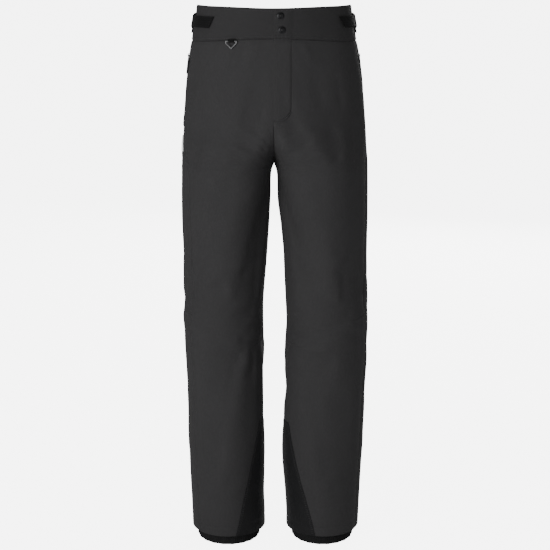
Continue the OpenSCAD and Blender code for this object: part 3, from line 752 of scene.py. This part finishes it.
LEG_SPAN = 240.0  # length round half a leg, near enough to space columns
PUFF = 0.8
SEWN = -0.1  # height of a row of stitches over the cloth


def grid(first, last, z, count):
    """Grids of t and z between the ends first(z) and last(z), rows from the top down."""
    z = np.sort(z)[::-1, None]
    a, b = first(z), last(z)
    t = a + (b - a) * shares(count, LEG_SPAN)
    return t, z + 0 * t


def blend_down(obj):
    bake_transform(obj)


def pocket_gap(z):
    """Half width of the pocket's opening."""
    low, high = POCKET_Z
    return 2.3 * smoothstep(z, low - 8, low + 6) * smoothstep(-z, -high - 8, -high + 6)


def fit_waist(t, z):
    """Stretches a panel's rows so that its top row follows the waist seam."""
    top = z[0, 0]
    return z + smoothstep(z, SEAM_Z - 60, top) * (waist_seam(t) - top)


def slider_room(side, t, z):
    """How much thinner a front is at the flap's foot, where the zip's open slider comes to rest."""
    x = np.abs(place(side, t, z)[..., 0])
    return 1.3 * np.exp(-(((z - FLAP_FOOT - 8) / 16) ** 2)) * (1 - smoothstep(x, 25, 45))


def panel(name, side, grids, lines, *replaced):
    """A panel of the shell, with rows of stitches along lines of (t, z)."""
    build = Build()
    add_layer(build, side, grids)
    for line_t, line_z in lines:
        stitch_line(build, side, line_t, line_z, SEWN)
    return build.make(name, None, "shell", "shell", "thread", replaced=replaced)


def upper_panels(side):
    """Front and back of the seat and thigh, from the waist seam down to above the knee."""
    z = np.linspace(SPLIT_Z, SEAM_Z + 4, 84)
    z = finer(finer(z, [SPLIT_Z], 4.0, 1.4), [SEAM_Z + 4], 8.0, 1.6)
    z = finer(z, np.arange(CROTCH_Z, CROTCH_Z + 25, 8.0), 4.0, 1.6)
    inside = z[(z > SPLIT_Z) & (z < SEAM_Z)]
    seam_front = lambda h: shift_t(side, outseam(side, h), h, -pocket_gap(h))
    seam_back = lambda h: shift_t(side, outseam(side, h), h, pocket_gap(h))
    start = lambda h: 0 * h
    if side == LEFT:
        start = lambda h: front_t(side, beside_flap(h), h) * (h > FLAP_FOOT)
    t, zz = grid(start, seam_front, z, 44)
    zz = fit_waist(t, zz)
    low = slider_room(side, t, zz) - SHELL_T
    grids = layer(cloth(side), t, zz, low, 0.0, "wen", "", PUFF, FLAP_FOOT - 6)
    lines = [(shift_t(side, seam_front(inside), inside, -4.2), inside)]
    if side == RIGHT:
        centre = inside[(inside > CROTCH_Z + 30) & (inside < FLAP_FOOT - 18)]
        lines += [(shift_t(side, 0 * centre, centre, 4.2), centre)]
    replaced = (f"{side}_front_hip", f"{side}_hip_sleeve", f"{side}_thigh_front")
    obj = panel(f"{side}_front_upper", side, grids, lines, *replaced)
    blend_down(obj)
    t, zz = grid(seam_back, lambda h: 0 * h + 1, z, 50)
    grids = layer(cloth(side), t, fit_waist(t, zz), -SHELL_T, 0.0, "wen", "", PUFF)
    lines = [(shift_t(side, 1 + 0 * inside, inside, -d), inside) for d in (4.2, 7.8)]
    obj = panel(f"{side}_back_upper", side, grids, lines, f"{side}_back_hip", f"{side}_thigh_back")
    blend_down(obj)


def lower_panels(side):
    """Front and back of the knee and shin, down to the hem."""
    darts = [(z0, (z0 + z1) / 2, z1) for x0, z0, x1, z1 in DARTS if x0 * SIDES[side] > 0]
    z = finer(np.linspace(HEM_Z, SPLIT_Z, 92), [row for dart in darts for row in dart], 5.0, 1.6)
    z = finer(z, [HEM_Z, HEM_Z + HEM_FOLD, SPLIT_Z], 4.0, 1.4)
    seam = lambda h: outseam(side, h)
    for face, first, last, count, replaced in (
        ("front", lambda h: 0 * h, seam, 44, [f"{side}_knee_sleeve", f"{side}_shin_front"]),
        ("back", seam, lambda h: 0 * h + 1, 50, [f"{side}_shin_back"]),
    ):
        t, zz = grid(first, last, z, count)
        grids = layer(cloth(side), t, zz, -SHELL_T, 0.0, "we", "s", PUFF)
        around = np.linspace(first(HEM_Z), last(HEM_Z), 90)
        lines = [(shift_t(side, last(z), z, -4.2), z)]
        lines += [(around, HEM_Z + HEM_FOLD + h + 0 * around) for h in (-1.5, 1.5)]
        obj = panel(f"{side}_{face}_lower", side, grids, lines, *replaced)
        blend_down(obj)


# ---- Waistband and fly -----------------------------------------------------------------------------


def band_piece(name, side, first, last, count, seams, free, replaced=(), overlap=False):
    """A piece of the waistband between two shares of the section."""
    rise = finer(np.linspace(0, 60, 15), [0, 60], 5.0, 1.4)[::-1, None] / 60
    t = (first + (last - first) * shares(count, 200.0)) + 0 * rise
    z = waist_seam(t) + (top_edge(t) - waist_seam(t)) * rise
    high = 0 * t
    if overlap:
        high = 1.6 * (1 - smoothstep(np.abs(place(side, t, z)[..., 0]), 24, HINGE[0] - 0.5))
    low = high - (1.9 if overlap else BAND_T)
    build = Build()
    add_layer(build, side, layer(cloth(side), t, z, low, high, seams, free, 0.4))
    row = t[0][1:-1]
    for line_z in (waist_seam(row) + 4.4, top_edge(row) - 5.0):
        stitch_line(build, side, row, line_z, high[0][1:-1] + 0.3)
    if overlap:
        edge = waist_seam(0) + np.linspace(4.4, 53, 30)
        for x in (4.0, 7.6):
            stitch_line(build, side, front_t(side, x + 0 * edge, edge), edge, 1.9)
    body = None if overlap else "trunk"
    return build.make(name, body, "shell", "band", "thread", replaced=replaced)


def waistband():
    flap_t = float(front_t(LEFT, np.array(HINGE[0]), np.array(1090.0)))
    front, back = SIDE_T - 0.0005, SIDE_T + 0.0005
    band_piece("band_front_right", RIGHT, 0.0, front, 60, "se", "n", ["waistband_front_right"])
    band_piece("band_front_left", LEFT, flap_t, front, 50, "se", "n", ["waistband_front_left"])
    band_piece("band_back_right", RIGHT, back, 1.0, 60, "sw", "n", ["waistband_back"])
    band_piece("band_back_left", LEFT, back, 1.0, 60, "sw", "n")
    hinge_blend(band_piece("band_overlap", LEFT, 0.0, flap_t, 26, "s", "nw", ["waistband_overlap"], True))


def hinge_blend(obj):
    """Bakes the transform of a piece of the fly into its mesh."""
    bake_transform(obj)


def fly_flap():
    """The storm flap, from the waist seam down to its curved foot. A sewn groove runs down its side and
    along its foot, and beyond the groove it lies flush with the left front."""
    wide = HINGE[0] + 0.6
    x = finer(np.linspace(0, wide, 20), [0, FLAP_W], 4.5, 0.8)
    rows = finer(np.linspace(0, 150, 42), [0, 4], 5.0, 1.0)[::-1, None] / 150
    top = waist_seam(front_t(LEFT, np.maximum(x, 0.2), SEAM_Z + 0 * x))
    foot = flap_foot(x) - 2.5
    z = foot + (top - foot) * rows
    t = front_t(LEFT, np.maximum(np.repeat(x[None], len(rows), 0), 0.05), z)
    groove = np.exp(-(((x - FLAP_W + 0.8) / 1.7) ** 2)) * smoothstep(z, FLAP_FOOT + 8, FLAP_FOOT + 24)
    groove = np.maximum(groove, np.exp(-(((z - foot - 3.2) / 1.6) ** 2)))
    high = 1.6 - 1.5 * smoothstep(x, 27, wide - 1) - 1.7 * groove
    low = high - 1.4 + 1.1 * groove
    build = Build()
    add_layer(build, LEFT, layer(cloth(LEFT, 0.3), t, z, low, high, "n", "ws"))
    for inset in (4.4, 9.3):
        line_z = np.linspace(FLAP_FOOT + 9, SEAM_Z + 6, 60)
        stitch_line(build, LEFT, front_t(LEFT, inset + 0 * line_z, line_z), line_z, 1.4, 0.3)
    u = np.linspace(0, 1, 70)
    line_x = np.concatenate([2 + (FLAP_W - 2.8) * u, 0 * u + FLAP_W - 0.8])
    corner = flap_foot(FLAP_W)
    line_z = np.concatenate([flap_foot(line_x[:70]) + 0.7, corner + 2 + (SEAM_Z - corner) * u])
    stitch_line(build, LEFT, front_t(LEFT, line_x, line_z), line_z, -0.1, 0.3)
    for x0, x1, bar_z in ((3.0, 12.0, 899.0), (6.0, 18.0, 892.0)):
        for step in np.linspace(-0.8, 0.8, 3):
            bar = np.linspace(x0, x1, 30)
            bar_row = bar_z + step + 0 * bar
            stitch_line(build, LEFT, front_t(LEFT, bar, bar_row), bar_row, 0.9)
    hinge_blend(build.make("flap_cloth", None, "shell", "shell", "thread", replaced=["fly_flap"]))


def flat(x, z, d):
    """A plane that leans with the centre front, at a depth of -d behind it."""
    return np.stack([x, front_y(z) - d, z], -1)


def flat_piece(name, slot, material, strips, replaced):
    """Flat layers behind the fly. Each strip is x0, x1, z0, z1, back and front."""
    build = Build()
    for x0, x1, z0, z1, low, high in strips:
        wide = x0 + (x1 - x0) * shares(max(4, int((x1 - x0) / 5)), x1 - x0, 2.4, 0.8)
        tall = finer(np.linspace(z0, z1, 30), [z0, z1], 2.4, 0.8)[::-1]
        x, z = np.meshgrid(wide, tall)
        add_layer(build, LEFT, layer(flat, x, z, low, high, "", "wens"))
    build.make(name, "trunk", slot, material, replaced=[replaced])


def fly_inside():
    """Underlaps, zip tapes and the covered edge behind the flap."""
    flat_piece("underlap_cloth", "shell", "shell", [(-34, 34, 1062, 1117, -10.4, -7.6)], "waistband_underlap")
    flat_piece("underlap_lining", "lining", "lining", [(-34, 34, 906, 1049, -14.8, -13.6)], "fly_underlap")
    tapes = [(ZIP_X + a, ZIP_X + b, 908, 1050, -8.35, -7.65) for a, b in ((-13.3, -3.3), (3.3, 13.3))]
    flat_piece("zip_tapes_woven", "trim", "tape", tapes, "fly_zip_tapes")
    # The right front carries on a little under the flap, and lower down the middle seam is taped.
    xx, zz = np.meshgrid(np.linspace(-3, 11, 9), np.linspace(CROTCH_Z + 5, SEAM_Z + 4, 90)[::-1])
    t = front_t(LEFT, np.maximum(np.abs(xx), 0.05), zz)
    lift = -1.6 * smoothstep(xx, -3, 1) - 1.2 - 1.2 * smoothstep(FLAP_FOOT - zz, -8, 4)
    outer, inner = (place(LEFT, t, zz) + outward(LEFT, t, zz) * (lift + e)[..., None] for e in (0, -1.6))
    for points in (outer, inner):
        points[..., 0] = xx
    piece("fly_edge", "trunk", "shell", "shell", LEFT, (outer, inner, np.stack([xx, zz], -1)))


# ---- Linings, gaiters and guards ---------------------------------------------------------------------


def linings(side):
    """Facing, seat and leg linings, and the pocket bag."""
    s = np.linspace(0, 1, 61)
    z = np.linspace(SPLIT_Z, SEAM_Z - 3, 60)[::-1, None]
    start = 0.12 * smoothstep(z, CROTCH_Z + 6, CROTCH_Z + 60)
    t = start + (1 - start) * s
    zz = z + 0 * t
    deep = 7 * smoothstep(zz, 700, 820)
    puckers = 0.8 * np.sin(t * 70 + 2 * np.sin(zz / 31)) * np.sin(zz / 23 + 5 * t)
    grids = layer(cloth(side, 0.6), t, zz, puckers - 5.6 - deep, puckers - 4.4 - deep)
    replaced = [f"{side}_thigh_lining"] + ["seat_lining"] * (side == RIGHT)
    obj = piece(f"{side}_upper_lining", None, "lining", "lining", side, grids, replaced)
    blend_down(obj)
    t, z = np.meshgrid(s[:-1], np.linspace(220, SPLIT_Z, 50)[::-1])
    puckers = 0.6 * np.sin(t * 8 * np.pi + 2 * np.sin(z / 31)) * np.sin(z / 23)
    grids = layer(cloth(side, 0.6), t, z, puckers - 5.6, puckers - 4.4)
    replaced = [f"{side}_shin_lining"]
    obj = piece(f"{side}_lower_lining", None, "lining", "lining", side, grids, replaced, closed=True)
    blend_down(obj)
    t, z = np.meshgrid(np.linspace(0.12, 1, 60), finer(np.linspace(0, 60, 8), [0, 60], 3, 1)[::-1] / 60)
    low, high = waist_seam(t) + 3, top_edge(t) - 3
    build = Build()
    add_layer(build, side, layer(cloth(side), t, low + (high - low) * z, -6.4, -5.0, "", "nsw"))
    stitch_line(build, side, t[0][1:-1], high[0][1:-1] - 3, -6.6)
    build.make(f"{side}_band_facing", "trunk", "lining", "facing", "thread", replaced=["waistband_facing"])
    rows = finer(np.linspace(840, 1020, 22), [840, 1020], 4, 1.2)[::-1]
    t, z = np.meshgrid(shares(14, 80, 4, 1.2) * 0.19 + 0.24, rows)
    grids = layer(cloth(side), t, z, -8.6, -6.2, "", "nsew")
    piece(f"{side}_pocket_bag", "trunk", "lining", "lining", side, grids, ["pocket_bags"])


def gaiter(side):
    """Inner snow gaiter: gathered cloth on a ribbed elastic."""
    body = f"{side}_shin"
    around = np.arange(360) / 360
    t, z = np.meshgrid(around, np.concatenate([np.linspace(24, 60, 16), np.linspace(66, 205, 16)])[::-1])
    gather = 1 - smoothstep(z, 24, 110)
    wander = 0.6 * np.sin(z / 9 + 3 * np.sin(t * 14 * np.pi))
    pleats = gather * (1.5 * np.sin(t * 2 * np.pi * 41 + wander) + 0.6 * np.sin(t * 2 * np.pi * 67 + 2))
    grids = layer(cloth(side, 0), t, z, pleats - 12.4, pleats - 11.6, "", "n")
    piece(f"{side}_gaiter_cloth", body, "trim", "gaiter", side, grids, [f"{side}_gaiter"], closed=True)
    t, z = np.meshgrid(around, finer(np.linspace(0, 26, 14), [0, 26], 2.4, 0.8)[::-1])
    ribs = 0.5 * np.sin(t * 2 * np.pi * 90) * smoothstep(z, 1, 5) + 0.6 * np.sin(t * 2 * np.pi * 19 + z / 6)
    grids = layer(cloth(side, 0), t, z, ribs - 13.2, ribs - 10.8, "", "ns")
    replaced = [f"{side}_gaiter_elastic"]
    piece(f"{side}_gaiter_band", body, "elastic", "elastic", side, grids, replaced, closed=True)


GUARD_TOP = 262.0


def scuff_guard(side):
    """Tough panel over the inner ankle, with a slanted front edge and two rows of stitches."""
    z = finer(np.linspace(HEM_Z + 0.4, GUARD_TOP, 50), [HEM_Z + 0.4, GUARD_TOP], 4.0, 1.3)[::-1, None]
    front = 0.09 + 0.125 * (GUARD_TOP - z) / (GUARD_TOP - HEM_Z)
    back = -0.03 - 0.85 * front
    t = front + (back - front) * shares(56, 120, 4.0, 1.2)
    surface = lambda q, h, d: worn(side, np.mod(q, 1), h, d)
    build = Build()
    add_layer(build, side, layer(surface, t[:, ::-1], z + 0 * t, 0.9, 2.0, "", "wens"))
    rows = z[2:-2, 0]
    for edge, sign in ((front, -1), (back, 1)):
        for inset in (2.6, 5.0):
            line_t = np.mod(shift_t(side, np.mod(edge[2:-2, 0], 1), rows, sign * inset), 1)
            stitch_line(build, side, line_t, rows, 1.9)
    replaced = [f"{side}_scuff_guard"]
    build.make(f"{side}_guard_cloth", f"{side}_shin", "scuff", "scuff", "thread", replaced=replaced)


# ---- Side adjusters and small pieces ------------------------------------------------------------------

STRAP_Z, STRAP_W = 1080.0, 22.0
TAB_TIP = {RIGHT: (54.5, 61.5), LEFT: (44.0, 53.5)}  # angles of the tip's lower and upper corner
PEEL_ANGLE, PEEL_Z = 27.0, 1088.0  # angle and height by the free end; the strap's rows of stitches end just past the angle


def ring(side):
    """Round side of the waist, by the angle forward of the side."""

    def surface(angle, z, d):
        r, a = outer_w[side](z) - SIDE_X + d, np.radians(angle)
        return np.stack([SIDES[side] * (SIDE_X + r * np.cos(a)), SIDE_Y - r * np.sin(a), z], -1)

    return surface


def strip(side, tip, last, z0, z1, low, high, free="wens", count=30):
    """Grids of a strip on the round side, from its tip, an angle for each height, to the angle last.
    low and high are heights over the waist, or functions of z."""
    z = finer(np.linspace(z0, z1, 22), [z0, z1], 1.6, 0.5)[::-1]
    first = np.interp(z, [z0, z1], tip)[:, None]
    angle = first + (last - first) * shares(count, abs(last - tip[0]) * 1.4, 2.0, 0.7)
    z = z[:, None] + 0 * angle
    if callable(low):
        low, high = low(z), high(z)
    return layer(ring(side), angle, z, low, high, "", free)


def adjuster(side):
    """Strap with its free end, the hooks and loops under it, and the keeper that it runs through."""
    top = STRAP_Z + STRAP_W
    tip = TAB_TIP[side]
    build = Build()
    add_layer(build, side, strip(side, tip, -54.0, STRAP_Z, top, 2.6, 3.9, count=70))
    for row in (STRAP_Z + 2.2, top - 2.2):
        angle = np.linspace(np.interp(row, [STRAP_Z, top], tip) - 2, PEEL_ANGLE + 3, 40)
        turn = np.radians(angle)
        out = np.stack([SIDES[side] * np.cos(turn), -np.sin(turn), 0 * angle], -1)
        add_stitches(build, ring(side)(angle, row + 0 * angle, 3.9 + 0 * angle), out)
    replaced = [f"{side}_strap", f"{side}_tab"]
    obj = build.make(f"{side}_strap_webbing", None, "trim", "trim", "dark_thread", replaced=replaced)
    r = (float(outer_w[side](PEEL_Z)) - SIDE_X + 3.2) * MM
    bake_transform(obj)
    for name, body, short, last, low, high, replaced in (
        ("hooks", f"{side}_tab", 2, 30.0, 1.5, 2.5, f"{side}_hook_patch"),
        ("loops", "trunk", 4, 16.0, 0.2, 1.4, "loop_patches"),
    ):
        grids = strip(side, (tip[0] - short, tip[1] - short), last, STRAP_Z + 1, top - 1, low, high)
        piece(f"{side}_{name}", body, "trim", "loops", side, grids, [replaced])
    edge = STRAP_Z - 0.3
    over = lambda z, reach: smoothstep(z, edge - reach, edge) * smoothstep(-z, -top - reach, -top)
    low, high = lambda z: 4.6 * over(z, 0.4) - 0.6, lambda z: 3.0 + 2.8 * over(z, 4)
    grids = strip(side, (4.5, 4.5), -4.0, STRAP_Z - 13, top + 4, low, high, free="we", count=10)
    piece(f"{side}_keeper", "trunk", "trim", "trim", side, grids, ["strap_keepers"])


def side_patch():
    """Plain patch on the right hip."""
    z = finer(np.linspace(*PATCH_Z, 10), PATCH_Z, 2, 0.7)[::-1]
    t, z = np.meshgrid(PATCH_T[0] + (PATCH_T[1] - PATCH_T[0]) * shares(14, 24, 2, 0.7), z)
    grids = layer(cloth(RIGHT), t, z, 0.2 + PUFF, 0.8 + PUFF, "", "nsew")
    piece("side_patch_film", "trunk", "print", "patch", RIGHT, grids, ["side_patch"])


RING_AT = (-83.5, -108.8, 1056.0)


def ring_tab():
    """Short folded tab that carries the wire ring."""
    turn = np.linspace(np.pi, 2 * np.pi, 14)
    up = np.linspace(4, 0.6, 8)
    out_y = np.concatenate([0 * up - 1, np.cos(turn), 0 * up + 1])
    out_z = np.concatenate([0 * up, np.sin(turn), 0 * up])
    path_z = np.concatenate([up, 1.9 * np.sin(turn), up[::-1]])

    def surface(x, i, d):
        i = i.astype(int)
        return np.stack([x, 1.9 * out_y[i] + out_y[i] * d, path_z[i] + out_z[i] * d], -1) + RING_AT

    x, i = np.meshgrid(-6 + 12 * shares(8, 12, 1.5, 0.5), np.arange(float(len(out_y))))
    grids = layer(surface, x, i, -0.45, 0.45, "", "we")
    piece("ring_tab_webbing", "trunk", "trim", "trim", LEFT, grids, ["d_ring_tab"])


def hanger_loop():
    """Cord loop inside the back of the waistband."""
    rounded = lambda v: np.sign(v) * np.abs(v) ** 0.5
    y = float(back_d(1095.0) + mid_y(1095.0)) - 10

    def surface(turn, w, d):
        x, z = rounded(np.cos(turn)), rounded(np.sin(turn))
        return np.stack([(28 + 2 * w) * x, y + d, 1070 + (13 + 2 * w) * z], -1)

    turn, w = np.meshgrid(np.linspace(0, 2 * np.pi, 73)[:-1], np.linspace(-1, 1, 9))
    grids = layer(surface, turn, w, -0.8, 0.8, "", "ns")
    piece("hanger_cord", "trunk", "trim", "trim", LEFT, grids, ["hanger_loop"], closed=True)


def hardware():
    """The CAD's hard pieces stay, in worn materials."""
    finish = {"fly_zip_teeth": "teeth", "snap_studs": "gunmetal", "fly_zip_slider": "gunmetal",
              "snap_caps": "snap", "d_ring": "wire"}
    for side in SIDES:
        finish |= {f"{side}_pocket_zip": "teeth", f"{side}_pocket_slider": "gunmetal",
                   f"{side}_pocket_puller": "pull"}
    for name, material in finish.items():
        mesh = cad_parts[name].data
        mesh.materials.clear()
        mesh.materials.append(materials[material])


# ---- Run -------------------------------------------------------------------------------------------


BACKDROP = 7.0  # brightness of the pale backdrop as the camera sees it
FLOOR_LIT = 1.0  # how much of it the floor gets from the lights
AMBIENT = 0.1
FLOOR_HALF = 30.0
CAMERA_AT, CAMERA_TILT = (0.002, -3.2, 1.26), 12.2  # degrees down
CAMERA_LENS, CAMERA_SENSOR = 103.29, 36.0
LIGHTS = {  # place, size and power
    "key": ((-2.3, -3.0, 1.3), 2.2, 93.0),
    "fill": ((1.4, -3.4, 1.2), 2.4, 17.0),
    "top": ((-0.4, 0.2, 3.4), 2.2, 12.0),
    "back": ((0.9, 3.3, 1.7), 2.4, 80.0),
    "flank": ((3.2, 1.0, 1.2), 2.0, 9.0),
}


def studio():
    """Pale floor and backdrop, soft lights and the camera."""
    scene = bpy.context.scene
    world = bpy.data.worlds.new("studio")
    scene.world = world
    world.use_nodes = True
    tree = world.node_tree
    seen = tree.nodes.new("ShaderNodeLightPath").outputs["Is Camera Ray"]
    strength = tree.nodes.new("ShaderNodeMapRange")
    strength.inputs["To Min"].default_value = AMBIENT
    strength.inputs["To Max"].default_value = BACKDROP
    tree.links.new(seen, strength.inputs["Value"])
    tree.nodes["Background"].inputs["Color"].default_value = (1, 1, 1, 1)
    tree.links.new(strength.outputs["Result"], tree.nodes["Background"].inputs["Strength"])
    mesh = bpy.data.meshes.new("floor")
    corners = [(x * FLOOR_HALF, y * FLOOR_HALF, 0) for x, y in ((-1, -1), (1, -1), (1, 1), (-1, 1))]
    mesh.from_pydata(corners, [], [(0, 1, 2, 3)])
    floor = bpy.data.objects.new("floor", mesh)
    scene.collection.objects.link(floor)
    n = Nodes("floor")
    n.set(Base_Color=(0.8, 0.8, 0.8, 1), Roughness=0.9, Specular_IOR_Level=0.0)
    seen = n.tree.nodes.new("ShaderNodeLightPath").outputs["Is Camera Ray"]
    n.set(Emission_Color=(1, 1, 1, 1), Emission_Strength=n.math("MULTIPLY", seen, BACKDROP - FLOOR_LIT))
    mesh.materials.append(materials["floor"])
    target = Vector((0, 0, 0.6))
    for name, (at, size, power) in LIGHTS.items():
        light = bpy.data.lights.new(name, "AREA")
        light.energy, light.size = power, size
        lamp = bpy.data.objects.new(name, light)
        lamp.location = at
        lamp.rotation_euler = (target - Vector(at)).to_track_quat("-Z", "Y").to_euler()
        scene.collection.objects.link(lamp)
    camera = bpy.data.objects.new("camera", bpy.data.cameras.new("camera"))
    camera.data.lens, camera.data.sensor_width = CAMERA_LENS, CAMERA_SENSOR
    camera.location = CAMERA_AT
    camera.rotation_euler = (math.radians(90 - CAMERA_TILT), 0, 0)
    scene.collection.objects.link(camera)
    scene.camera = camera


make_materials()
settle()
for side_name in SIDES:
    upper_panels(side_name)
    lower_panels(side_name)
    linings(side_name)
    gaiter(side_name)
    scuff_guard(side_name)
    adjuster(side_name)
waistband()
fly_flap()
fly_inside()
side_patch()
ring_tab()
hanger_loop()
hardware()
studio()
